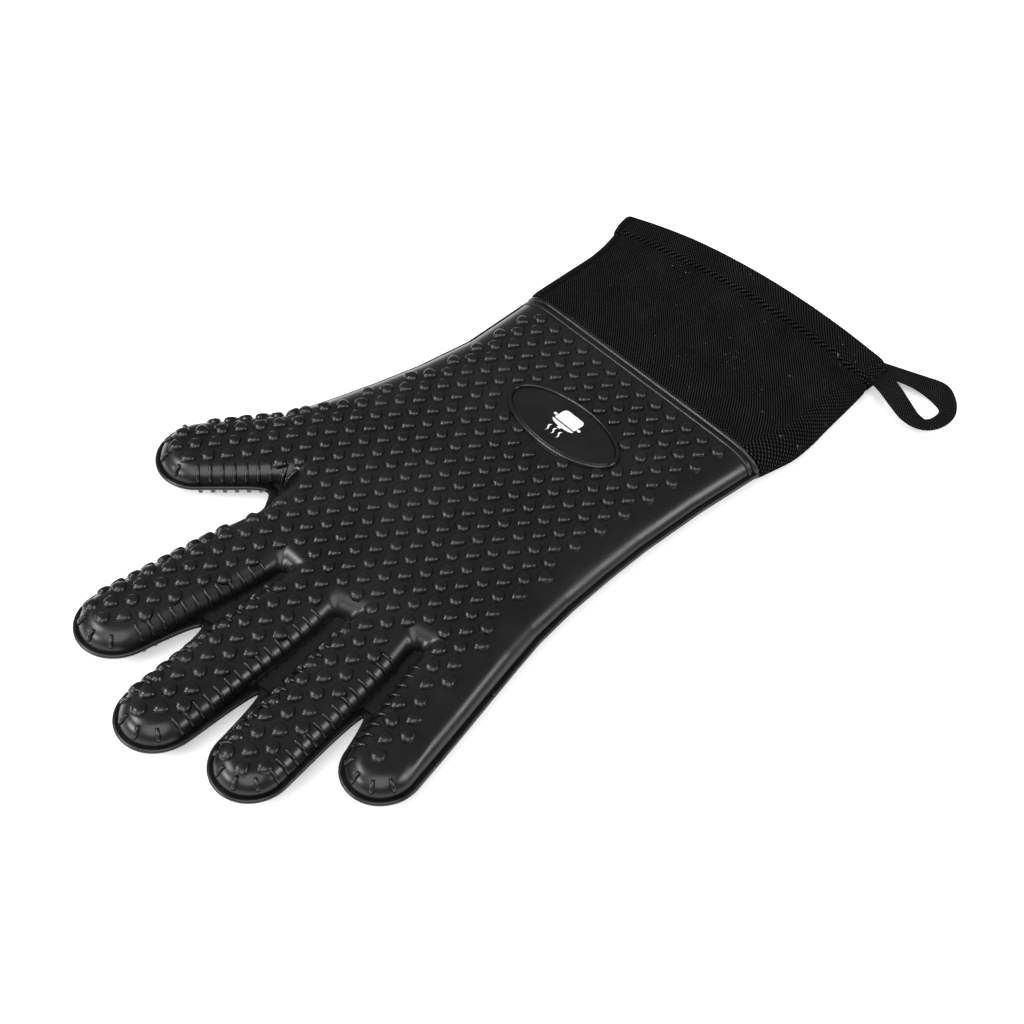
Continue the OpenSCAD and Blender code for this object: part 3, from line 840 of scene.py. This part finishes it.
ink, nodes, links, shader = new_material("white_badge_ink")
wear = noise(nodes, links, nodes.new("ShaderNodeTexCoord").outputs["Object"], 1800, detail=3)
links.new(colour_mix(nodes, links, ranged(nodes, links, wear, 0.3, 0.75, 0, 1), (0.86, 0.86, 0.85),
                     (0.66, 0.66, 0.65)), shader.inputs["Base Color"])
links.new(ranged(nodes, links, wear, 0.3, 0.7, 0.42, 0.6), shader.inputs["Roughness"])
links.new(bumped(nodes, links, wear, 0.15, 0.00005), shader.inputs["Normal"])
POT_HALF, POT_DEEP, INK_THICK = 5.6, 6.2, 0.09
HANDLE_OUT, HANDLE_AT, HANDLE_HALF = 1.1, -1.6, (0.8, 0.55)
SMALL_ROUND = (0.4,) * 4


def round_box(cx, cy, half_x, half_y, radii):
    """Corner radii from the top right, going round to the left."""
    line = []
    for (sx, sy, start), r in zip(((1, 1, 0), (-1, 1, 90), (-1, -1, 180), (1, -1, 270)), radii):
        line += [(cx + sx * (half_x - r) + r * math.cos(math.radians(start + t)),
                  cy + sy * (half_y - r) + r * math.sin(math.radians(start + t))) for t in (0, 22, 45, 68, 90)]
    return line


wisps = [[(x + s * 0.42 * math.sin(math.pi * min(f + 0.08, 1)) + 0.5 * math.sin(math.tau * f), 3.7 + 4 * f)
          for s, fs in ((1, np.linspace(0, 1, 13)), (-1, np.linspace(1, 0, 13))) for f in fs]
         for x in (-3, 0, 3)]
lid = [(5.9 * math.cos(a), 0.55 + 1.75 * math.sin(a)) for a in np.linspace(0, math.pi, 17)]
handles = [round_box(side * (POT_HALF + HANDLE_OUT), HANDLE_AT, *HANDLE_HALF, SMALL_ROUND) for side in (-1, 1)]
shapes = [round_box(0, -POT_DEEP / 2 - 0.1, POT_HALF, POT_DEEP / 2, (0.3, 0.3, 1.8, 1.8)), *handles, lid,
          round_box(0, 2.75, 0.9, 0.45, SMALL_ROUND), *wisps]
printed = []
for shape in shapes:
    points = [(BADGE_AT[0] + x, BADGE_AT[1] + y - 0.6, BADGE_FACE + 0.03 + level)
              for level in (0, INK_THICK) for x, y in shape]
    printed.append((points, ring_faces(2, len(shape))))
made = new_piece("badge_pot_print", *as_one(printed), ink, smooth=False)
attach(made, "hand")
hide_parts("badge_print")

# Inside the skin lies a quilted liner: a sheet of soft batting, and a cotton lining sewn to it, cut as a
# hand like the skin and turned in at the wrist.
LINER_STEP = 2.3
BATTING_DEPTH, BATTING_THICK = 1.9, 1.4
LINING_DEPTH, LINING_THICK = 3.6, 0.7
LINER_REAR = WRIST_Y + 6.5

fibre_effect, given, result, place = effect_group("soft_fibres", {"Fibre Scale": 900, "Tuft Scale": 90},
                                                  ("Fibres", "Tufts"))
nodes, links = fibre_effect.nodes, fibre_effect.links
fibres = noise(nodes, links, place, given["Fibre Scale"], detail=4, rough=0.7)
fibres.node.inputs["Distortion"].default_value = 1.2
links.new(fibres, result["Fibres"])
links.new(noise(nodes, links, place, given["Tuft Scale"], detail=2), result["Tufts"])


def fibre_finish(name, pale, deep, fibre_scale, tuft_scale, depth):
    made, nodes, links, shader = new_material(name)
    fibre = nodes.new("ShaderNodeGroup")
    fibre.node_tree = fibre_effect
    fibre.inputs["Fibre Scale"].default_value = fibre_scale
    fibre.inputs["Tuft Scale"].default_value = tuft_scale
    tone = ranged(nodes, links, fibre.outputs["Tufts"], 0.3, 0.7, 0, 1)
    links.new(colour_mix(nodes, links, tone, pale, deep), shader.inputs["Base Color"])
    links.new(ranged(nodes, links, fibre.outputs["Fibres"], 0.3, 0.7, 0.84, 0.97), shader.inputs["Roughness"])
    shader.inputs["Specular IOR Level"].default_value = 0.2
    shader.inputs["Sheen Weight"].default_value = 0.25
    links.new(bumped(nodes, links, fibre.outputs["Fibres"], 0.6, depth), shader.inputs["Normal"])
    return made


batting = fibre_finish("polyester_batting", (0.78, 0.77, 0.73), (0.66, 0.65, 0.61), 1500, 140, 0.0006)
cotton = fibre_finish("cotton_lining", (0.56, 0.54, 0.49), (0.47, 0.45, 0.41), 3200, 60, 0.0002)
for layer, node, depth, thick, finish, slot in (
        ("batting_layer", "wadding", BATTING_DEPTH, BATTING_THICK, batting, "wadding"),
        ("cotton_layer", "lining", LINING_DEPTH, LINING_THICK, cotton, "cotton_lining")):
    layer_form = lambda x, y, z: skin_form(x, y, z, depth)
    points, faces = skin_mesh(layer_form, LINER_REAR - 5, LINER_STEP)
    faces = faces[points[faces][:, :, 1].mean(1) > LINER_REAR]
    normals = unit(slope(layer_form, points))
    for body, used, part in split_by_body(points, faces):
        shape = walled(points[used], part, normals[used], thick)
        made = new_piece(piece_name(body, layer), *shape[:2], finish, normals=shape[2])
        joined_to(made, body)
        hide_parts(piece_name(body, node))
        if node == "wadding":
            continue
        low, high = points[used].min(0) * MM, points[used].max(0) * MM
        reach = (2 * (high[0] - low[0]), high[1] - low[1])

# The liner's edge at the wrist is sewn round with a running stitch of black thread.
thread, nodes, links, shader = new_material("black_thread")
twist = nodes.new("ShaderNodeTexWave")
twist.bands_direction = "DIAGONAL"
twist.inputs["Scale"].default_value = 900
twist.inputs["Distortion"].default_value = 1.5
links.new(nodes.new("ShaderNodeTexCoord").outputs["Object"], twist.inputs["Vector"])
links.new(colour_mix(nodes, links, twist.outputs["Fac"], (0.004, 0.004, 0.004), (0.016, 0.016, 0.017)),
          shader.inputs["Base Color"])
shader.inputs["Roughness"].default_value = 0.8
shader.inputs["Specular IOR Level"].default_value = 0.15
links.new(bumped(nodes, links, twist.outputs["Fac"], 0.5, 0.00012), shader.inputs["Normal"])
STITCH_LONG, STITCH_THICK, STITCH_SPACE = 2.9, 0.62, 3.9


def stitch_mesh(name, long=STITCH_LONG):
    """One stitch: a short length of thread whose ends dive into the cloth."""
    points, sides = [], 6
    along = (-0.5, -0.38, -0.15, 0.15, 0.38, 0.5)
    for f in along:
        sink = -0.42 * (2 * abs(f)) ** 3
        fat = STITCH_THICK / 2 * (0.65 if abs(f) == 0.5 else 1)
        points += [(f * long, fat * math.cos(a), sink + 0.12 + fat * math.sin(a))
                   for a in np.arange(sides) * math.tau / sides]
    mesh = new_mesh(name, points, ring_faces(len(along), sides), thread)
    return bpy.data.objects.new(name, turned_out(mesh))


def sewn(name, line, up, closed_line=False, long=STITCH_LONG, space=STITCH_SPACE):
    """A row of stitches along a line over a face whose way up is known at each point."""
    ends = np.concatenate([line, line[:1]]) if closed_line else line
    ups = np.concatenate([up, up[:1]]) if closed_line else up
    reach = reached(ends)
    even = (np.arange(int(reach[-1] / space)) + 0.5) * space
    at = lambda values, where: np.stack([np.interp(where, reach, values[:, k]) for k in range(3)], 1)
    spots, top = at(ends, even), unit(at(ups, even))
    way = at(ends, even + 0.5) - at(ends, even - 0.5)
    shape = stitch_mesh(name + "_stitch", long)
    made = repeated(name, shape, spots, turned(level_with(way, top), top), thread)
    bpy.data.objects.remove(shape)
    return made


seam_ring, seam_out = ring_across(LINER_REAR + 2.5, LINING_DEPTH + LINING_THICK, 2)
made = sewn("liner_wrist_stitching", seam_ring, -seam_out, closed_line=True)
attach(made, "hand")
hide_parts("liner_seam_stitching")

# The cuff is a tube of black cotton twill. Its neck is bonded inside the bead, it widens into an arched
# mouth, and its end is turned in as a deep hem and sewn down. A side seam runs down its left edge.
CUFF_LEFT = ((-168, -62.8), (-166, -63), (-160, -63.4), (-155, -63.9), (-150, -65.4), (-143, -66.9),
             (-136, -68.2), (-121, -71), (-111, -73), (-99, -74), (-91, -73), (-80, -71.5), (-76, -71.2))
CUFF_RIGHT = ((-168, 79.4), (-166, 79.6), (-157, 81.4), (-150, 80), (-138, 74.6), (-121, 69.3),
              (-106, 67), (-90, 65.3), (-76, 64.4))
CUFF_WIDE = 142
HEM_LINE = ((-63, -167), (0, -161.5), (40, -158), (79, -153.5))
CUFF_LONG = 80
HEM_DEEP = 12.5
HEM_END = 1 - HEM_DEEP / CUFF_LONG
HEM_PROUD, SEAM_SUNK, PULL_DEEP, PUCKERS = 0.75, 1.5, 1.9, 84
MOUTH_HIGH = 18.5
NECK_R, HEM_R = 8.9, 5.5
CLOTH = 0.75
HEM_FOLD = 1.7
CUFF_COLS = 264
CUFF_ROUND = 296
SEAM_COL = 0.484


def curved(value, table):
    """A smooth curve through a table of points."""
    x, y = np.array(table, float).T
    m = np.gradient(y, x)
    k = np.clip(np.searchsorted(x, value) - 1, 0, len(x) - 2)
    h = x[k + 1] - x[k]
    t = np.clip((value - x[k]) / h, 0, 1)
    return ((2 * t**3 - 3 * t**2 + 1) * y[k] + (t**3 - 2 * t**2 + t) * h * m[k]
            + (-2 * t**3 + 3 * t**2) * y[k + 1] + (t**3 - t**2) * h * m[k + 1])


def eased(f):
    return f * f * (3 - 2 * f)


def ring_share(col):
    """Where each column is round the cuff: across from right to left, 0 to 1, and over or under."""
    roll = 0.045
    u = col % 1.0
    over, left = 0.5 - roll, 0.5
    across = np.where(u < over, u / over,
                      np.where(u < left, 1, np.where(u < left + over, 1 - (u - left) / over, 0)))
    turn = np.where(u < over, 90,
                    np.where(u < left, 90 + 180 * (u - over) / roll,
                             np.where(u < left + over, 270, 270 + 180 * (u - left - over) / roll)))
    return across, np.radians(turn)


def cuff_face(col, share, depth):
    """A point of the cuff's cloth, from the neck, 0, to the hem's edge, 1, at a depth below its face."""
    across, turn = ring_share(col)
    r = NECK_R + (HEM_R - NECK_R) * eased(share)
    flat_x = HEM_LINE[-1][0] - HEM_R - across * (CUFF_WIDE - 2 * HEM_R) + HEM_R * np.cos(turn)
    y = WRIST_Y + 1 + (np.interp(flat_x, *zip(*HEM_LINE)) - WRIST_Y - 1) * share
    inset = 0.5 + depth
    left, right = curved(y, CUFF_LEFT) + inset, curved(y, CUFF_RIGHT) - inset
    rise = (MOUTH_HIGH - 2 * HEM_R) * share**2.1
    middle = r + 0.3 * (1 - share) + 0.1
    upper = np.clip(np.sin(turn), 0, 1)
    lower = np.clip(-np.sin(turn), 0, 1)
    x = right - r + depth + (left + r - depth - right + r - depth) * across + (r - depth) * np.cos(turn)
    arch = rise * 4 * across * (1 - across)
    z = middle + (r - depth) * np.sin(turn) + arch * upper
    # the cloth's slack: long soft rolls off the neck, and a dent where the loop pulls on the hem
    swing = (np.sin(math.tau * (2.2 * across + 0.15)) * 0.5
             + np.sin(math.tau * (5.1 * across + 0.6 * share)) * 0.28)
    slack = swing * np.sin(math.pi * np.clip(share, 0, 1)) ** 0.8 * (upper - 0.35 * lower)
    pull = np.exp(-((across - 0.955) / 0.05) ** 2 - ((share - 0.82) / 0.1) ** 2) * upper
    past_seam = (share - HEM_END) * CUFF_LONG
    seam = np.exp(-(past_seam / 0.9) ** 2)
    hem = np.clip(past_seam / 1.2, 0, 1)
    pucker = 0.12 * np.sin(math.tau * col * PUCKERS) * np.exp(-(past_seam / 3) ** 2)
    tuck = -1.6 * np.exp(-(share * CUFF_LONG / 2.2) ** 2)
    side_ridge = 0.35 * np.exp(-((col - 0.478) * CUFF_ROUND / 1.3) ** 2)
    proud = slack + HEM_PROUD * hem - SEAM_SUNK * seam + pucker + tuck - PULL_DEEP * pull + side_ridge
    z = z + proud * np.sin(turn)
    x = x + proud * np.cos(turn) * 0.9
    return np.stack([x, y, np.maximum(z, 0.02 + depth * lower)], -1)


def cuff_tube(path):
    """A closed tube of cloth whose wall follows a path of [share of the cuff's length, depth]."""
    cols = np.arange(CUFF_COLS) / CUFF_COLS
    rings = [cuff_face(cols, np.full(CUFF_COLS, share), depth) for share, depth in path]
    points = np.concatenate(rings)
    rows = len(path)
    i, j = (a.ravel() for a in np.meshgrid(np.arange(rows), np.arange(CUFF_COLS), indexing="ij"))
    nxt, wrap = (i + 1) % rows, (j + 1) % CUFF_COLS
    faces = np.stack([i * CUFF_COLS + j, nxt * CUFF_COLS + j, nxt * CUFF_COLS + wrap, i * CUFF_COLS + wrap], 1)
    around = np.repeat(cols[None] * CUFF_ROUND, rows, 0).ravel()
    down = np.repeat(np.array([share * CUFF_LONG - depth for share, depth in path]), CUFF_COLS)
    return points, faces, np.column_stack([around, down])


# twill: diagonal ribs crossed by the weft, with slubs and pale lint, on the cloth's own coordinates
weave_effect, given, result, place = effect_group("twill_weave", {"Rib Pitch": 0.9, "Weft Pitch": 0.62},
                                                  ("Weave", "Tone", "Lint"), "UV")
nodes, links = weave_effect.nodes, weave_effect.links
sums = lambda operation, *values: math_node(nodes, links, operation, *values)
parts = nodes.new("ShaderNodeSeparateXYZ")
links.new(place, parts.inputs[0])
around, down = parts.outputs[:2]
drift = sums("MULTIPLY", noise(nodes, links, place, 260, detail=2), 0.0006)
rib_way = sums("ADD", sums("ADD", around, down), drift)
weft_way = sums("SUBTRACT", sums("MULTIPLY", down, 1.6), sums("MULTIPLY", around, 0.5))
waves = [sums("SINE", sums("DIVIDE", sums("MULTIPLY", way, math.tau * 1000), given[pitch]))
         for way, pitch in ((rib_way, "Rib Pitch"), (weft_way, "Weft Pitch"))]
ribs, wefts = (ranged(nodes, links, wave, -1, 1, 0, 1) for wave in waves)
crossed = sums("MULTIPLY", sums("POWER", ribs, 0.7), sums("ADD", sums("MULTIPLY", wefts, 0.85), 0.15))
links.new(sums("POWER", crossed, 2.1), result["Weave"])
links.new(noise(nodes, links, place, 55, detail=4, rough=0.65), result["Tone"])
flecks, patches = (noise(nodes, links, place, scale, detail=1) for scale in (620, 75))
links.new(sums("MULTIPLY", ranged(nodes, links, flecks, 0.7, 0.78, 0, 1),
               ranged(nodes, links, patches, 0.52, 0.62, 0, 1)), result["Lint"])


def twill_finish(name, low, high, rib, weft, depth, lint):
    made, nodes, links, shader = new_material(name)
    weave = nodes.new("ShaderNodeGroup")
    weave.node_tree = weave_effect
    weave.inputs["Rib Pitch"].default_value = rib
    weave.inputs["Weft Pitch"].default_value = weft
    shade = math_node(nodes, links, "MULTIPLY", weave.outputs["Weave"],
                      ranged(nodes, links, weave.outputs["Tone"], 0.3, 0.7, 0.55, 1.0))
    cloth = colour_mix(nodes, links, shade, low, high)
    fleck = math_node(nodes, links, "MULTIPLY", weave.outputs["Lint"], lint)
    links.new(colour_mix(nodes, links, fleck, cloth, (0.16, 0.16, 0.165)), shader.inputs["Base Color"])
    links.new(ranged(nodes, links, weave.outputs["Weave"], 0, 1, 1.0, 0.85), shader.inputs["Roughness"])
    shader.inputs["Specular IOR Level"].default_value = 0.01
    links.new(bumped(nodes, links, weave.outputs["Weave"], 0.75, depth), shader.inputs["Normal"])
    return made


twill = twill_finish("black_cotton_twill", (0.0003, 0.0003, 0.0004), (0.062, 0.0625, 0.0638), 1.4, 1.5,
                     0.0003, 0.6)
shares = np.concatenate([np.linspace(0, 0.1, 10), np.linspace(0.12, 0.8, 40), np.linspace(0.81, 0.88, 14),
                         np.linspace(0.89, 0.985, 12)])
fold = [(1 - 0.011 * (1 - math.sin(a)), HEM_FOLD / 2 * (1 - math.cos(a)))
        for a in np.linspace(0.2, math.pi - 0.2, 7)]
inside = [(s, HEM_FOLD) for s in np.linspace(0.975, HEM_END + 0.012, 10)]
under = [(s, CLOTH) for s in np.linspace(HEM_END, 0, 34)]
points, faces, uv = cuff_tube([(s, 0) for s in shares] + fold + inside + under)
cuff_cloth = facing_out("cuff_twill", points, faces.tolist(), twill, uv=uv)
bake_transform(cuff_cloth)
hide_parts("cuff_cloth")

# A cotton lining backs the cuff's cloth from the neck to the turned hem, where it is caught in the seam.
lining_path = ([(s, CLOTH + 0.35) for s in np.linspace(HEM_END - 0.004, 0.02, 34)]
               + [(s, CLOTH + 1.05) for s in np.linspace(0.02, HEM_END - 0.004, 34)])
points, faces, uv = cuff_tube(lining_path)
cuff_lining = facing_out("cuff_cotton_lining", points, faces.tolist(), cotton, uv=uv)
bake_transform(cuff_lining)
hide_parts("cuff_lining")

# The hem, the side seam and the loop's ends are sewn with black thread.
STITCH_SUNK, HEM_SPACE, SIDE_LONG, SIDE_SPACE = 0.34, 3.6, 2.3, 3.4


def sewn_on_cuff(name, cols, shares, **how):
    """A row of stitches pulled a little way into the cuff's cloth."""
    line = cuff_face(cols, shares, 0.0)
    up = line - cuff_face(cols, shares, 1.0)
    return sewn(name, line - STITCH_SUNK * up, up, **how)


hem_cols, side_shares = np.arange(240) / 240, np.linspace(0.05, 0.97, 60)
hem_stitches = sewn_on_cuff("hem_thread", hem_cols, np.full(240, HEM_END), closed_line=True, space=HEM_SPACE)
side_stitches = sewn_on_cuff("side_seam_thread", np.full(60, SEAM_COL), side_shares, long=SIDE_LONG,
                             space=SIDE_SPACE)
for piece, node in ((hem_stitches, "hem_stitching"), (side_stitches, "side_seam_stitching")):
    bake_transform(piece)
    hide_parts(node)
BARS, BAR_LONG, BAR_SPACE, BAR_START = 7, 4.6, 1.4, -164.8
bar_y = BAR_START + BAR_SPACE * np.arange(BARS)
bar_x = curved(bar_y, CUFF_LEFT) + 0.15
bar_spots = np.column_stack([bar_x, bar_y, np.full(BARS, HEM_R + 0.9)])
bar_turns = turned(np.tile(UPWARD, (BARS, 1)), np.tile([-1.0, 0, 0], (BARS, 1)))
bar_shape = stitch_mesh("bar", BAR_LONG)
bartack = repeated("loop_bartack_thread", bar_shape, bar_spots, bar_turns, thread)
bpy.data.objects.remove(bar_shape)
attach(bartack, "cuff")
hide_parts("loop_bartack")

# The hanging loop is a tape of woven black cotton, both ends sewn to the hem at the side seam. It lies
# open and nearly face up.
# x, y, z and sideways tilt in degrees at points along the tape's middle
LOOP_ROUTE = ((-61.5, -162, 5.8, -4), (-66.4, -160.6, 6.4, -4), (-72, -158.6, 6.8, -2),
              (-80, -155.4, 6.6, 4), (-87.5, -153, 6.2, 12), (-93.4, -154, 5.9, 18),
              (-96.1, -158.8, 5.7, 24), (-95.6, -165.2, 5.5, 34), (-91.7, -171, 5.3, 56),
              (-85, -173.8, 5.1, 34), (-77, -173.3, 4.8, 2), (-69, -171.3, 4.5, -8), (-58.8, -167.5, 4.3, -8))
TAPE_WIDE, TAPE_THICK = 9.4, 1.3
TAPE_PROFILE = ((-0.5, 0), (-0.47, 0.42), (-0.4, 0.5), (-0.2, 0.44), (0, 0.4), (0.2, 0.44), (0.4, 0.5),
                (0.47, 0.42), (0.5, 0), (0.47, -0.42), (0.4, -0.5), (0.2, -0.44), (0, -0.4),
                (-0.2, -0.44), (-0.4, -0.5), (-0.47, -0.42))
route = np.array(LOOP_ROUTE, float)
knots = np.arange(len(route))
fine = np.linspace(0, len(route) - 1, 121)
route = np.stack([curved(fine, np.column_stack([knots, route[:, k]])) for k in range(4)], 1)
centre = route[:, :3]
ahead = unit(np.gradient(centre, axis=0))
level = unit(np.cross(ahead, UPWARD))
rise = np.cross(level, ahead)
tilt = np.radians(route[:, 3:])
across = np.cos(tilt) * level + np.sin(tilt) * rise
through = np.cross(ahead, across)
tape_profile = [(a * TAPE_WIDE, b * TAPE_THICK) for a, b in TAPE_PROFILE]
points, faces = swept(centre, across, through, tape_profile, False)
reach = reached(centre)
profile_at = reached(np.array(tape_profile))
tape_uv = np.column_stack([np.tile(profile_at, len(centre)), np.repeat(reach, len(TAPE_PROFILE))])
tape_twill = twill_finish("black_woven_tape", (0.0006, 0.0006, 0.0007), (0.085, 0.085, 0.087), 1.2, 1.3,
                          0.0003, 0.25)
loop = facing_out("hanging_loop_tape", points, faces, tape_twill, uv=tape_uv)
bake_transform(loop)
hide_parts("hanging_loop")
